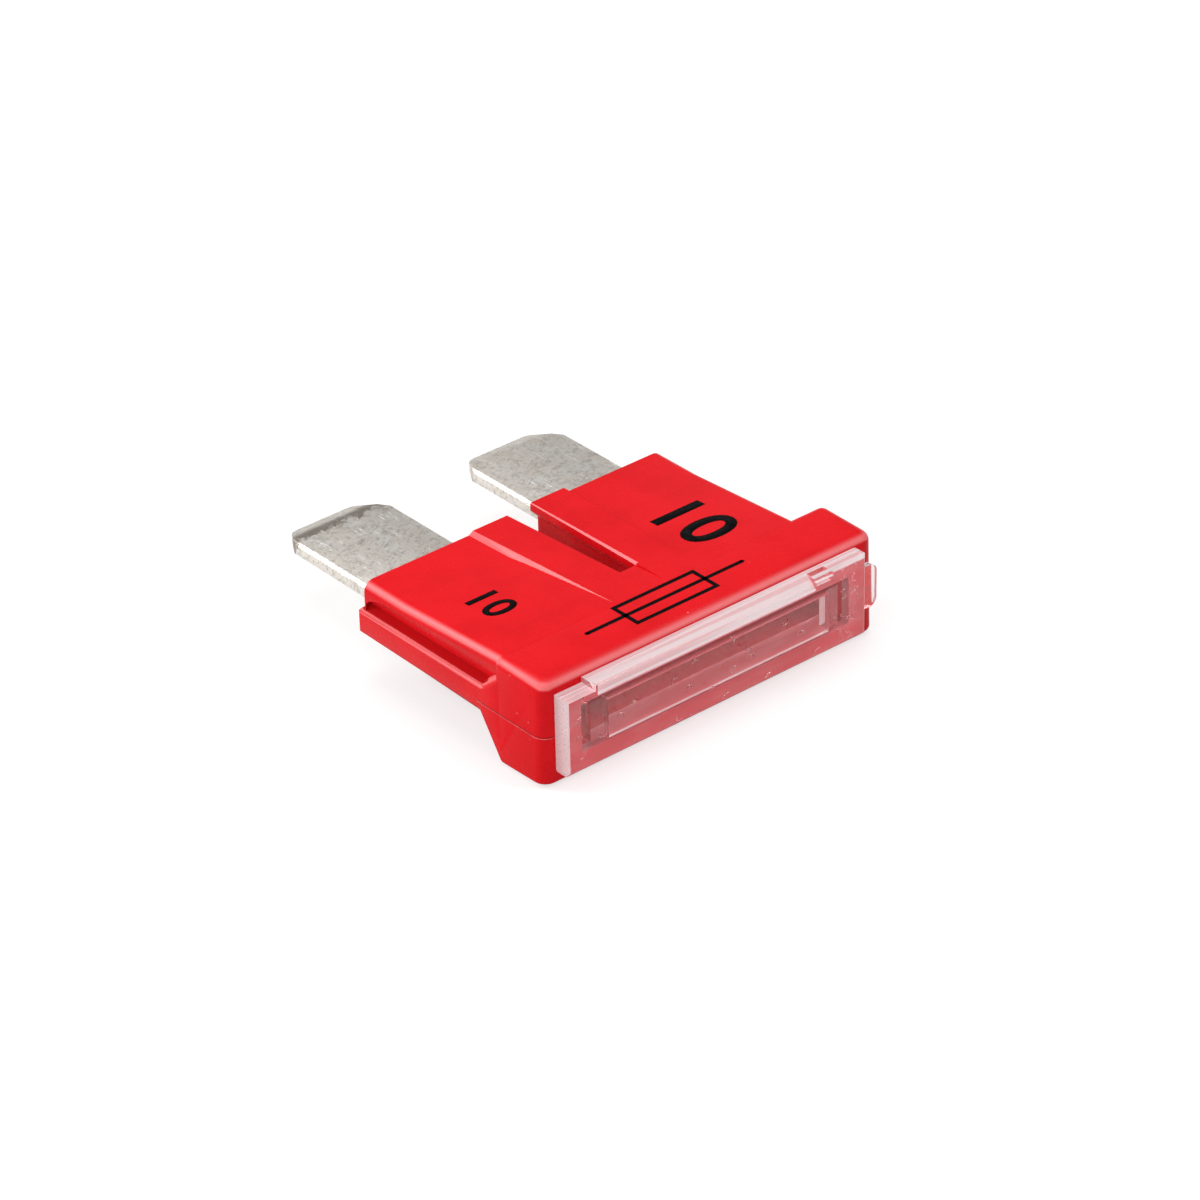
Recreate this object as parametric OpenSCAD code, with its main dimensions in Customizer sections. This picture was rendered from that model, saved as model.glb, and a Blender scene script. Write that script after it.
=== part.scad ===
/* [Blades] */
// Width of each blade
blade_w = 5.2; // [4.6:0.1:5.8]
// Thickness of the blades
blade_t = 0.75; // [0.6:0.05:0.85]
// Free gap between the two blades
blade_gap = 4.5; // [4:0.1:5]
// Length of the left blade past the housing legs
blade_free = 8; // [6:0.05:10]
// How much shorter the right blade is
right_short = 0.35; // [0:0.05:0.5]
// Chamfer along the long edges of the blades
blade_chamfer = 0.15; // [0.05:0.05:0.2]
// Length of the coined taper at the blade tips
coin_len = 0.95; // [0.5:0.05:1.5]
// Thickness left at the coined tips
coin_t = 0.3; // [0.2:0.05:0.4]
// Small corner cut of a tip, across the blade
tip_cut_a = 0.6; // [0.3:0.1:1]
// Small corner cut of a tip, along the blade
tip_cut_a_len = 1.1; // [0.6:0.1:1.6]
// Large corner cut of a tip, across the blade
tip_cut_b = 1.2; // [0.6:0.1:1.6]
// Large corner cut of a tip, along the blade
tip_cut_b_len = 1.6; // [0.8:0.1:2]
// Rounding of the tips' corners in plan
tip_r = 0.6; // [0.2:0.1:0.8]

/* [Fusible link] */
// Thickness of the thinned link
link_t = 0.3; // [0.2:0.05:0.4]
// Width of the link where it leaves the blades
link_w = 1; // [0.8:0.1:1.2]
// Width of the melting neck
neck_w = 0.45; // [0.3:0.05:0.6]
// Length of the melting neck
neck_len = 2.4; // [1.5:0.1:3]
// Step that stops each blade on the cavity floor
shoulder = 0.35; // [0.2:0.05:0.5]

/* [Head] */
// Width of the head
head_w = 18.7; // [18.4:0.1:19.4]
// How far the head's middle stands right of the blades' middle
head_shift = 0.22; // [0:0.02:0.3]
// How much each side of the head leans in towards the top
head_lean = 0.12; // [0:0.02:0.16]
// Depth of the head at its top
head_d = 3.3; // [3.1:0.1:3.6]
// Height of the head as it lies flat
head_h = 5.05; // [4.9:0.05:5.6]
// Height of the blades' mid plane above the head's underside
plane_z = 2.65; // [2.6:0.01:2.8]
// Rounding of the head's upper edges
edge_r = 0.45; // [0.3:0.05:0.6]
// Rounding of the head's lower edges
low_r = 0.3; // [0.2:0.05:0.45]
// Rounding of the two upright front corners
corner_r = 0.65; // [0.5:0.05:0.8]
// Width of the opening behind the window
opening_w = 15; // [14.95:0.05:15.4]
// Height of the opening behind the window
opening_h = 2.4; // [2.2:0.1:2.6]
// Depth of the cavity that holds the link
cavity_d = 3.4; // [3.2:0.1:3.6]

/* [Legs] */
// Length of the housing from the head's front to the leg ends
body_len = 11.85; // [11:0.05:13]
// Step from the head's underside up to the legs
leg_lift = 1.8; // [1.6:0.05:1.85]
// Step from the head's top down to the legs
leg_drop = 0.35; // [0.2:0.05:0.5]
// Distance from the front at which the legs' top levels out
ramp_end = 9.3; // [7:0.1:10.5]
// Wall outside the left blade in the upper half
left_wall = 1.5; // [1.3:0.05:1.55]
// Wall outside the right blade in the upper half
right_wall = 0.25; // [0:0.05:1]
// Rounding of the legs' upper outer edges
leg_r = 0.5; // [0.3:0.05:0.6]
// Width over the two side bars
bars_w = 18.1; // [18:0.05:18.2]
// Height of the side bars above the legs' underside
bar_h = 1.56; // [1.4:0.02:1.6]
// How far the side bars run past the leg ends
bar_over = 0.7; // [0.1:0.05:0.8]
// Depth of the side groove, measured from the upper wall
groove_deep = 0.3; // [0.15:0.05:0.5]
// Height of the groove's bottom above the legs' underside
groove_z = 1.75; // [1.7:0.05:1.9]
// Length over which the groove runs out towards the leg's end
groove_run = 2.2; // [1:0.1:4]

/* [Middle slot] */
// Width of the slot at its closed end
slot_w = 0.9; // [0.7:0.1:1.1]
// Width of the slot at its mouth
slot_mouth = 1.3; // [1.1:0.1:1.4]
// Distance from the front to the slot's closed end
slot_start = 4.85; // [4.6:0.05:6]
// Distance from the middle of the part to the slot's straight side
slot_side = 0.2; // [0.1:0.05:0.5]
// How far each rib overhangs the slot
slot_lip = 0.4; // [0.1:0.05:0.45]
// Chamfer along the slot's upper edges
slot_chamfer = 0.12; // [0.05:0.01:0.2]
// Width of the flush ribs beside the slot
rib_w = 1.9; // [1.5:0.1:2.2]
// Width of the slope at the foot of the left rib
left_slope = 0.38; // [0.1:0.02:0.5]
// Width of the slope at the foot of the right rib
right_slope = 0.22; // [0.1:0.02:0.3]
// Fall of the left rib's top towards the leg's end
left_fall = 0.2; // [0:0.02:0.24]
// Fall of the right rib's top towards the leg's end
right_fall = 0.08; // [0:0.02:0.2]

/* [Window cap] */
// Width of the cap's flange
flange_w = 16.9; // [16.4:0.1:17.2]
// Height of the cap's flange
flange_h = 4.15; // [3.9:0.05:4.2]
// How far the flange stands in front of the head
flange_d = 0.95; // [0.8:0.05:1.2]
// Chamfer along the flange's front edges
flange_chamfer = 0.5; // [0.3:0.01:0.55]
// Clearance between the cap's skirt and the opening
skirt_gap = 0.05; // [0.03:0.01:0.1]
// Wall of the skirt at its two ends
skirt_end = 0.55; // [0.4:0.05:0.7]
// Wall of the skirt above and below
skirt_wall = 0.22; // [0.2:0.01:0.35]
// How deep the skirt reaches into the housing
skirt_d = 0.9; // [0.6:0.1:1]
// Width of the viewing window
window_w = 12.3; // [11:0.1:13]
// Thickness of the window's pane
pane_t = 0.55; // [0.4:0.05:0.65]
// Rounding of the flange's corners
flange_r = 0.3; // [0.1:0.05:0.5]
// Left end of the bevel above the window
bevel_left = 6.9; // [5.5:0.1:7]
// Right end of the bevel above the window
bevel_right = 5.2; // [4.5:0.1:6.5]
// Drop of the flange's top at its left end
notch_drop = 0.25; // [0.1:0.05:0.4]
// Length of the small latch pocket in the flange's top
pocket_l = 0.95; // [0.6:0.05:1.2]
// Width of the latch pocket
pocket_w = 0.28; // [0.2:0.02:0.34]
// Depth of the latch pocket
pocket_d = 0.45; // [0.2:0.05:0.6]
// Length of the gate tab past the flange
tab_len = 0.85; // [0.8:0.05:1.4]
// Height of the gate tab
tab_h = 2.1; // [1.5:0.1:2.4]
// Thickness of the gate tab
tab_t = 0.3; // [0.2:0.05:0.4]

/* [Hidden] */

// The origin lies under the middle of the head's depth
front = -head_d / 2;
// Sides of the two blades, their top and their tips
blade_in = blade_gap / 2;
blade_out = blade_in + blade_w;
blade_top = plane_z + blade_t / 2;
blade_low = plane_z - blade_t / 2;
tip_y = body_len + blade_free;
// Clearance round the blades in the legs
blade_fit = 0.04;
// How far the blades reach into the cavity, and how far the link laps onto them
blade_reach = 1.2;
link_lap = 0.2;
blade_root = cavity_d - blade_reach;
link_front = blade_root - link_w + link_lap;
neck_bite = (link_w - neck_w) / 2;
// Heights and sides of the legs
leg_top = head_h - leg_drop;
left_x = -(blade_out + left_wall);
right_x = blade_out + right_wall;
// Side bars: outer face, top, roundings below, above and at the ends, and width of the ends
bar_x = bars_w / 2;
bar_top = leg_lift + bar_h;
bar_low_r = 0.4;
bar_top_r = 0.28;
bar_end_r = 0.45;
bar_end_w = 1;
wall_foot = bar_top - bar_top_r;
// Groove in the left side: its bottom, its upper edge at the head and on the level part, its end
groove_x = left_x + groove_deep;
groove_bottom = leg_lift + groove_z;
groove_edge = leg_r - 0.05;
groove_head = head_h - groove_edge;
groove_low = leg_top - groove_edge;
groove_stop = 0.05;
groove_turn = body_len - groove_stop - groove_run;
// Wedge behind the head: how far its foot and its shelf start inside the head, and the shelf's drop
wedge_d = 1;
wedge_in = 0.3;
shelf_in = 0.35;
shelf_drop = 1.25;
step_y = head_d - wedge_in;
step_back = head_d + wedge_d;
shelf_y = head_d - shelf_in;
shelf_z = head_h - shelf_drop;
shelf_end_z = leg_lift + shelf_drop;
// How far the legs, and the top of their ramp, start inside the head
leg_in = 0.4;
ramp_in = 0.2;
root_y = head_d - leg_in;
ramp_start = head_d - ramp_in;
// Lip of the ribs over the slot, and how far the ribs are sunk into the legs
lip_t = 0.48;
lip_slope = 0.44;
rib_sink = 0.1;
lip_z = head_h - lip_t;
lip_low = lip_z - lip_slope;
rib_foot = leg_top - rib_sink;
// Flange and skirt of the cap
flange_x = flange_w / 2;
flange_top = plane_z + flange_h / 2;
flange_low = plane_z - flange_h / 2;
flange_step = flange_d - flange_chamfer;
skirt_x = opening_w / 2 - skirt_gap;
skirt_z = opening_h / 2 - skirt_gap;
hollow_z = skirt_z - skirt_wall;
hollow_step = 0.2;
// Notch at the flange's left end, the latch pocket and the ledge before it
notch_step = 0.1;
pocket_step = 0.05;
notch_x = bevel_left + notch_step;
pocket_x = bevel_right + pocket_step;
pocket_y = -0.4;
ledge_w = 0.16;
ledge_d = 0.14;
tab_r = 0.4;
// Facets of rounded corners and of the neck's sides
corner_fn = 32;
neck_fn = 64;
// Overlap of joined solids, and reach of cuts past a face
eps = 0.01;
far = 3;

// Points on an arc round c, from angle a0 to a1
function arc(c, r, a0, a1, steps = 6) =
    [for (i = [0 : steps]) let (a = a0 + (a1 - a0) * i / steps) [c[0] + r * cos(a), c[1] + r * sin(a)]];

// A list of points in reverse order, and the points mirrored about x = 0
function reversed(points) = [for (i = [len(points) - 1 : -1 : 0]) points[i]];
function flipped(points) = reversed([for (p = points) [-p[0], p[1]]]);

// Points that round the corner b between a and c by the radius r
function rounded(a, b, c, r) =
    let (
        u = (a - b) / norm(a - b), w = (c - b) / norm(c - b),
        half = acos(u * w) / 2,
        middle = b + (u + w) / norm(u + w) * r / sin(half),
        start = b + u * r / tan(half) - middle,
        from = atan2(start[1], start[0]),
        turn = (cross(u, w) < 0 ? 1 : -1) * (180 - 2 * half)
    ) arc(middle, r, from, from + turn);

// Everything is drawn from the head's front face and then set over the origin
module from_front() {
    translate([0, front, 0]) children();
}

// A profile of x and z, run along y from y0 to y1
module run_y(y0, y1) {
    translate([0, y1, 0]) rotate([90, 0, 0]) linear_extrude(y1 - y0) children();
}

// A profile of y and z, run along x from x0 to x1
module run_x(x0, x1) {
    translate([x0, 0, 0]) rotate([90, 0, 90]) linear_extrude(x1 - x0) children();
}

// A profile of x and y, run up from z0 to z1
module run_z(z0, z1) {
    translate([0, 0, z0]) linear_extrude(z1 - z0) children();
}

// A solid through several outlines with equal numbers of points, each at its own height
module loft(outlines, heights) {
    n = len(outlines[0]);
    last = len(heights) - 1;
    points = [for (k = [0 : last]) for (p = outlines[k]) [p[0], p[1], heights[k]]];
    sides = [for (k = [0 : last - 1]) for (i = [0 : n - 1])
        [k * n + i, (k + 1) * n + i, (k + 1) * n + (i + 1) % n, k * n + (i + 1) % n]];
    polyhedron(points, concat([[for (i = [0 : n - 1]) i]], sides, [[for (i = [n - 1 : -1 : 0]) last * n + i]]));
}

// The same along y, through outlines of x and z
module loft_y(outlines, places) {
    end = places[len(places) - 1];
    translate([0, end, 0]) rotate([90, 0, 0]) loft(reversed(outlines), [for (y = reversed(places)) end - y]);
}

// A box given by its low and high corners
module block(low, high) {
    translate(low) cube(high - low);
}

// Rounded corner of radius r, which may be wider in plan than it is high
module knob(x, y, z, r, wide) {
    translate([x, y, z]) scale([wide / r, wide / r, 1]) rotate([90, 0, 0]) sphere(r, $fn = corner_fn);
}

// Middle of one of the head's rounded corners on side s, for a rounding r in plan and a height z
function head_x(s, r, z) = head_shift + s * (head_w / 2 - r - head_lean * z / head_h);

// Head block with rounded edges, its sides leaning in towards the top
module head_block() {
    top = head_h - edge_r;
    hull() for (s = [-1, 1]) {
        knob(head_x(s, corner_r, low_r), corner_r, low_r, low_r, corner_r);
        knob(head_x(s, corner_r, top), corner_r, top, edge_r, corner_r);
        knob(head_x(s, low_r, low_r), step_y - low_r, low_r, low_r, low_r);
        knob(head_x(s, edge_r, top), head_d - edge_r, top, edge_r, edge_r);
    }
}

// Wedge behind the head: sloped below, with a sloped shelf above
module head_wedge() {
    foot = leg_lift + low_r;
    hull() for (s = [-1, 1]) {
        knob(head_x(s, low_r, low_r), step_y - low_r, low_r, low_r, low_r);
        knob(head_x(s, low_r, foot), step_back - low_r, foot, low_r, low_r);
        knob(head_x(s, edge_r, shelf_end_z), step_back - edge_r, shelf_end_z, edge_r, edge_r);
        knob(head_x(s, edge_r, shelf_z), shelf_y, shelf_z, edge_r, edge_r);
    }
}

// Section of the legs' lower half, from bar to bar
module lower_section() {
    low = arc([bar_x - bar_low_r, leg_lift + bar_low_r], bar_low_r, -90, 0);
    high = arc([bar_x - bar_top_r, bar_top - bar_top_r], bar_top_r, 0, 60);
    polygon(concat(low, high, [[right_x - eps, groove_bottom], [groove_x, groove_bottom]], flipped(high), flipped(low)));
}

// Section of the legs' upper half for a given height of the top
function upper_section(top) = concat(
    [[left_x, wall_foot], [right_x, wall_foot]],
    arc([right_x - leg_r, top - leg_r], leg_r, 0, 90),
    arc([left_x + leg_r, top - leg_r], leg_r, 90, 180)
);

// Upper half of both legs, with the ramp that leads down from the head's top
module upper_legs() {
    high = upper_section(head_h);
    low = upper_section(leg_top);
    loft_y([high, high, low, low], [root_y, ramp_start, ramp_end, body_len]);
}

// Groove along the left side: a V section that runs out in a curve towards the leg's end
module groove_cut() {
    slope = (groove_head - groove_bottom) / groove_deep;
    rise = groove_low - groove_bottom;
    intersection() {
        run_y(ramp_start, body_len) polygon([
            [groove_x, groove_bottom], [left_x - far, groove_head + far * slope],
            [left_x - far, leg_lift], [groove_x, wall_foot]
        ]);
        run_x(left_x - far, groove_x) polygon(concat(
            [[ramp_start, leg_lift], [ramp_start, groove_head]],
            [for (a = [90 : -10 : 0]) [groove_turn + groove_run * cos(a), groove_bottom + rise * sin(a)]],
            [[groove_turn + groove_run, leg_lift]]
        ));
    }
}

// Ends of the side bars past the leg ends, rounded in plan and as seen from the side
module bar_ends() {
    inner = bar_x - bar_end_w;
    end = body_len + bar_over;
    turn = end - bar_end_r;
    outline = concat(arc([bar_x - bar_end_r, turn], bar_end_r, 90, 0),
        [[bar_x, body_len - far], [inner, body_len - far], [inner, end]]);
    intersection() {
        run_z(0, head_h) {
            polygon(outline);
            polygon(flipped(outline));
        }
        run_x(-bar_x, bar_x) polygon(concat(
            arc([turn, leg_lift + bar_end_r], bar_end_r, -90, 0), arc([turn, bar_top - bar_end_r], bar_end_r, 0, 90),
            [[body_len - far, bar_top], [body_len - far, leg_lift]]
        ));
        run_y(body_len - eps, end) lower_section();
    }
}

// Section of a rib from its side by the slot to its outer side, for a given height of the top
function rib_section(side, outer, slope, top) =
    [[side, rib_foot], [outer + slope, rib_foot], [outer, top], [side, top]];

// Ribs on both sides of the slot, flush with the head's top, with a slope at their foot
module ribs() {
    right = slot_side + rib_w;
    left = slot_side - rib_w;
    loft_y([
        rib_section(slot_side, right, right_slope, head_h),
        rib_section(slot_side, right, right_slope, head_h - right_fall)
    ], [ramp_start, body_len]);
    loft_y([
        reversed(rib_section(slot_side - slot_w, left - slot_w, -left_slope, head_h)),
        reversed(rib_section(slot_side - slot_mouth, left - slot_mouth, -left_slope, head_h - left_fall))
    ], [ramp_start, body_len]);
}

// Plan of the slot, let out by grow on both sides
function slot_plan(grow) =
    let (widening = (slot_mouth - slot_w) / (body_len - slot_start), end = body_len + far) [
        [slot_side + grow, slot_start], [slot_side + grow, end],
        [slot_side - slot_mouth - widening * far - grow, end], [slot_side - slot_w - grow, slot_start]
    ];

// Slot between the legs: wider under the lips of the ribs, and chamfered at its top
module slot_cut() {
    loft(
        [slot_plan(slot_lip), slot_plan(slot_lip), slot_plan(0), slot_plan(0), slot_plan(2 * slot_chamfer)],
        [-far, lip_low, lip_z, head_h - slot_chamfer, head_h + slot_chamfer]
    );
}

// Cavity behind the window and the two channels that hold the blades
module inner_cuts() {
    block([-opening_w / 2, -far, plane_z - opening_h / 2], [opening_w / 2, cavity_d, plane_z + opening_h / 2]);
    for (s = [0, 1]) mirror([s, 0, 0]) block(
        [blade_in - blade_fit, cavity_d - eps, blade_low - blade_fit],
        [blade_out + blade_fit, body_len + far, blade_top + blade_fit]);
}

module housing() {
    color([0.87, 0.1, 0.12]) from_front() difference() {
        union() {
            head_block();
            head_wedge();
            difference() {
                upper_legs();
                groove_cut();
            }
            run_y(root_y, body_len) lower_section();
            bar_ends();
            ribs();
        }
        slot_cut();
        inner_cuts();
    }
}

// Plan of one blade from its root to its tip, with unequal corner cuts and rounded corners
module blade_plan(tip) {
    p = [
        [0, blade_root], [blade_w, blade_root],
        [blade_w, tip - tip_cut_b_len], [blade_w - tip_cut_b, tip],
        [tip_cut_a, tip], [0, tip - tip_cut_a_len]
    ];
    n = len(p);
    polygon(concat([p[0], p[1]], [for (i = [2 : n - 1]) each rounded(p[i - 1], p[i], p[(i + 1) % n], tip_r)]));
}

// Section across a blade, with its long edges chamfered
module blade_section() {
    c = blade_chamfer;
    polygon([
        [0, blade_low + c], [c, blade_low], [blade_w - c, blade_low], [blade_w, blade_low + c],
        [blade_w, blade_top - c], [blade_w - c, blade_top], [c, blade_top], [0, blade_top - c]
    ]);
}

// Side view of a blade, thinned at the tip by coining
module blade_side(tip) {
    thin = coin_t / 2;
    polygon([
        [blade_root, blade_low], [tip - coin_len, blade_low], [tip, plane_z - thin],
        [tip, plane_z + thin], [tip - coin_len, blade_top], [blade_root, blade_top]
    ]);
}

module blade(tip) {
    intersection() {
        run_z(0, head_h) blade_plan(tip);
        run_y(blade_root, tip) blade_section();
        run_x(-eps, blade_w + eps) blade_side(tip);
    }
}

// Thinned link between the blades, waisted to a neck in the middle
module link() {
    reach = blade_in + link_w;
    bite_r = neck_len;
    run_z(plane_z - link_t / 2, plane_z + link_t / 2) difference() {
        translate([-reach, link_front]) square([2 * reach, link_w]);
        translate([0, link_front + neck_bite - bite_r]) circle(bite_r, $fn = neck_fn);
        translate([0, link_front + link_w - neck_bite + bite_r]) circle(bite_r, $fn = neck_fn);
    }
    for (s = [0, 1]) mirror([s, 0, 0]) block(
        [blade_in, link_front, plane_z - link_t / 2],
        [reach, blade_root + link_w, plane_z + link_t / 2]);
}

// Shoulders inside the cavity, which stop the blades on its floor
module shoulders() {
    for (s = [0, 1]) mirror([s, 0, 0]) block(
        [blade_in - shoulder, blade_root, blade_low],
        [blade_in + 2 * blade_chamfer, cavity_d, blade_top]);
}

module fuse_element() {
    color([0.72, 0.7, 0.66]) from_front() {
        translate([-blade_out, 0, 0]) blade(tip_y);
        translate([blade_in, 0, 0]) blade(tip_y - right_short);
        link();
        shoulders();
    }
}

// Front view of the flange, with rounded corners
module flange_outline() {
    x = flange_x - flange_r;
    z = flange_h / 2 - flange_r;
    polygon(concat(
        arc([x, plane_z + z], flange_r, 0, 90), arc([-x, plane_z + z], flange_r, 90, 180),
        arc([-x, plane_z - z], flange_r, 180, 270), arc([x, plane_z - z], flange_r, 270, 360)
    ));
}

// Flange of the cap: its right front corner and its lower front edge are chamfered
module flange() {
    c = flange_chamfer;
    intersection() {
        run_y(-flange_d, 0) flange_outline();
        run_z(flange_low, flange_top) polygon([
            [-flange_x, 0], [-flange_x, -flange_d], [flange_x - c, -flange_d], [flange_x, -flange_step], [flange_x, 0]
        ]);
        run_x(-flange_x, flange_x) polygon([
            [0, flange_low], [0, flange_top], [-flange_d, flange_top], [-flange_d, flange_low + c], [-flange_step, flange_low]
        ]);
    }
}

// Bevel over the window, the lower top at the left end and the latch pocket with its ledge
module flange_cuts() {
    c = flange_chamfer;
    pocket_end = pocket_x + pocket_l;
    run_x(-bevel_left, bevel_right) polygon([
        [-flange_d - eps, flange_top - c - eps], [-flange_step + eps, flange_top + eps], [-flange_d - eps, flange_top + eps]
    ]);
    block([-flange_x - far, -flange_d - far, flange_top - notch_drop], [-notch_x, far, flange_top + far]);
    block([pocket_x, pocket_y - pocket_w / 2, flange_top - pocket_d], [pocket_end, pocket_y + pocket_w / 2, flange_top + far]);
    block([bevel_right - eps, -flange_d - far, flange_top - ledge_d], [pocket_end, ledge_w - flange_d, flange_top + far]);
}

// Gate tab at the flange's right end
module gate_tab() {
    run = tab_len - tab_r;
    rise = tab_h / 2 - tab_r;
    run_y(-tab_t, 0) {
        translate([flange_x - eps, plane_z - tab_h / 2]) square([run + eps, tab_h]);
        translate([flange_x, plane_z - rise]) square([tab_len, 2 * rise]);
        for (s = [-1, 1]) translate([flange_x + run, plane_z + s * rise]) circle(tab_r, $fn = corner_fn);
    }
}

// Hollow behind the pane, wider where it meets the cavity
module hollow() {
    block([-window_w / 2, pane_t - flange_d, plane_z - hollow_z], [window_w / 2, skirt_d + far, plane_z + hollow_z]);
    block([skirt_end - skirt_x, hollow_step, plane_z - hollow_z], [skirt_x - skirt_end, skirt_d + far, plane_z + hollow_z]);
}

module window_cap() {
    color([0.93, 0.93, 0.95, 0.5]) from_front() {
        difference() {
            union() {
                flange();
                block([-skirt_x, -eps, plane_z - skirt_z], [skirt_x, skirt_d, plane_z + skirt_z]);
            }
            flange_cuts();
            hollow();
        }
        gate_tab();
    }
}

housing();
fuse_element();
window_cap();
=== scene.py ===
import math

import bpy
from mathutils import Matrix, Vector


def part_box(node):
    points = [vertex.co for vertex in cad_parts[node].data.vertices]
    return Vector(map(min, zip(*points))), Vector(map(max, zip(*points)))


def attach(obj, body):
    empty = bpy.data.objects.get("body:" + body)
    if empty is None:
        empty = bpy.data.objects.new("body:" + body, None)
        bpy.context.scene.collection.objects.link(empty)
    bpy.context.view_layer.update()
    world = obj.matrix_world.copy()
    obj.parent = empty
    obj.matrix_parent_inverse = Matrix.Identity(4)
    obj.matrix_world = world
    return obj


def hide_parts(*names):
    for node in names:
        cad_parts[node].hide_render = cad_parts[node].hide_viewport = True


mm = 0.001

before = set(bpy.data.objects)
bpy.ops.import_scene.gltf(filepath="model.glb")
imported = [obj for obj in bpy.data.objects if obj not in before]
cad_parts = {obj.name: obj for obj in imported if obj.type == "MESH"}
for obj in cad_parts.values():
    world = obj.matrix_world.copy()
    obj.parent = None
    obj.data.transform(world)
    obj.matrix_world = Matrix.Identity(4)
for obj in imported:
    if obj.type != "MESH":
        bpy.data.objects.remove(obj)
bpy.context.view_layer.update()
print("frame loaded:", ", ".join(sorted(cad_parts)))

housingLow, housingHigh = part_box("housing")
stripLow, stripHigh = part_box("fuse_element")
capLow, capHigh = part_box("window_cap")
capSide = -capLow.x
headFront = housingLow.y
headTop = housingHigh.z


# small helpers for working on one object at a time

def dropSelection():
    if bpy.context.object and bpy.context.object.mode != "OBJECT":
        bpy.ops.object.mode_set(mode="OBJECT")
    bpy.ops.object.select_all(action="DESELECT")


def pick(piece):
    dropSelection()
    piece.select_set(True)
    bpy.context.view_layer.objects.active = piece


def applyPlace(piece):
    pick(piece)
    bpy.ops.object.transform_apply(location=True, rotation=True, scale=True)


def applyModifiers(piece):
    pick(piece)
    for name in [m.name for m in piece.modifiers]:
        bpy.ops.object.modifier_apply(modifier=name)


def pickFaces(piece, wanted):
    # leaves the piece in edit mode with the wanted faces selected
    pick(piece)
    bpy.ops.object.mode_set(mode="EDIT")
    bpy.ops.mesh.select_mode(type="FACE")
    bpy.ops.mesh.select_all(action="DESELECT")
    bpy.ops.object.mode_set(mode="OBJECT")
    for face in piece.data.polygons:
        face.select = wanted(face.center, face.normal)
    bpy.ops.object.mode_set(mode="EDIT")


def giveMaterials(piece, *materials):
    piece.data.materials.clear()
    for material in materials:
        piece.data.materials.append(material)


copyCare = {
    "mergeWithin": 0.0005 * mm,
    "flatWithin": 0.5,
    "sharpOver": 35,
}


def copyOfNode(nodeName, pieceName, smoothAngle, softEdge=0, shapeIt=None):
    # the CAD piece with its triangles merged, then shaped, softened and shaded
    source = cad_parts[nodeName]
    piece = bpy.data.objects.new(pieceName, source.data.copy())
    bpy.context.scene.collection.objects.link(piece)
    pick(piece)
    bpy.ops.object.mode_set(mode="EDIT")
    bpy.ops.mesh.customdata_custom_splitnormals_clear()
    bpy.ops.mesh.select_all(action="SELECT")
    bpy.ops.mesh.remove_doubles(threshold=copyCare["mergeWithin"])
    bpy.ops.mesh.dissolve_limited(angle_limit=math.radians(copyCare["flatWithin"]))
    bpy.ops.mesh.normals_make_consistent(inside=False)
    bpy.ops.object.mode_set(mode="OBJECT")
    if shapeIt:
        shapeIt(piece)
    if softEdge:
        bevel = piece.modifiers.new("softEdges", "BEVEL")
        bevel.width = softEdge
        bevel.segments = 2
        bevel.limit_method = "ANGLE"
        bevel.angle_limit = math.radians(copyCare["sharpOver"])
        bevel.use_clamp_overlap = True
        applyModifiers(piece)
    bpy.ops.object.shade_smooth_by_angle(angle=math.radians(smoothAngle))
    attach(piece, "root")
    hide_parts(nodeName)
    return piece


# small helpers for nodes

def newMaterial(name):
    material = bpy.data.materials.new(name)
    material.use_nodes = True
    tree = material.node_tree
    tree.nodes.clear()
    output = tree.nodes.new("ShaderNodeOutputMaterial")
    return material, tree, output


def newShader(tree, plain):
    # what is the same all over the surface is set here
    shader = tree.nodes.new("ShaderNodeBsdfPrincipled")
    for label, value in plain.items():
        shader.inputs[label].default_value = value
    return shader


def feed(tree, shader, varied):
    # what changes over the surface is linked here
    for label, value in varied.items():
        tree.links.new(value, shader.inputs[label])


def put(tree, socket, value):
    # a plain value is set on the socket, and an output is linked to it
    if isinstance(value, (int, float, tuple)):
        socket.default_value = value
    else:
        tree.links.new(value, socket)


def maths(tree, operation, first, second=None, clamp=False):
    node = tree.nodes.new("ShaderNodeMath")
    node.operation = operation
    node.use_clamp = clamp
    put(tree, node.inputs[0], first)
    if second is not None:
        put(tree, node.inputs[1], second)
    return node.outputs[0]


def times(tree, total, *others):
    for other in others:
        total = maths(tree, "MULTIPLY", total, other)
    return total


def largest(tree, total, *others):
    for other in others:
        total = maths(tree, "MAXIMUM", total, other)
    return total


def noiseIn(tree, vector, scale, detail=3, roughness=0.55, distortion=0):
    node = tree.nodes.new("ShaderNodeTexNoise")
    node.inputs["Detail"].default_value = detail
    node.inputs["Roughness"].default_value = roughness
    node.inputs["Distortion"].default_value = distortion
    tree.links.new(vector, node.inputs["Vector"])
    put(tree, node.inputs["Scale"], scale)
    return node.outputs["Fac"]


def rampIn(tree, value, low, high, start=0.0, end=1.0):
    node = tree.nodes.new("ShaderNodeMapRange")
    node.interpolation_type = "SMOOTHSTEP"
    node.inputs["From Min"].default_value = low
    node.inputs["From Max"].default_value = high
    node.inputs["To Min"].default_value = start
    node.inputs["To Max"].default_value = end
    tree.links.new(value, node.inputs["Value"])
    return node.outputs["Result"]


def mappingIn(tree, vector, scale, rotation=(0, 0, 0), location=(0, 0, 0)):
    node = tree.nodes.new("ShaderNodeMapping")
    node.inputs["Location"].default_value = location
    node.inputs["Rotation"].default_value = [math.radians(a) for a in rotation]
    node.inputs["Scale"].default_value = scale
    tree.links.new(vector, node.inputs["Vector"])
    return node.outputs["Vector"]


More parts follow.
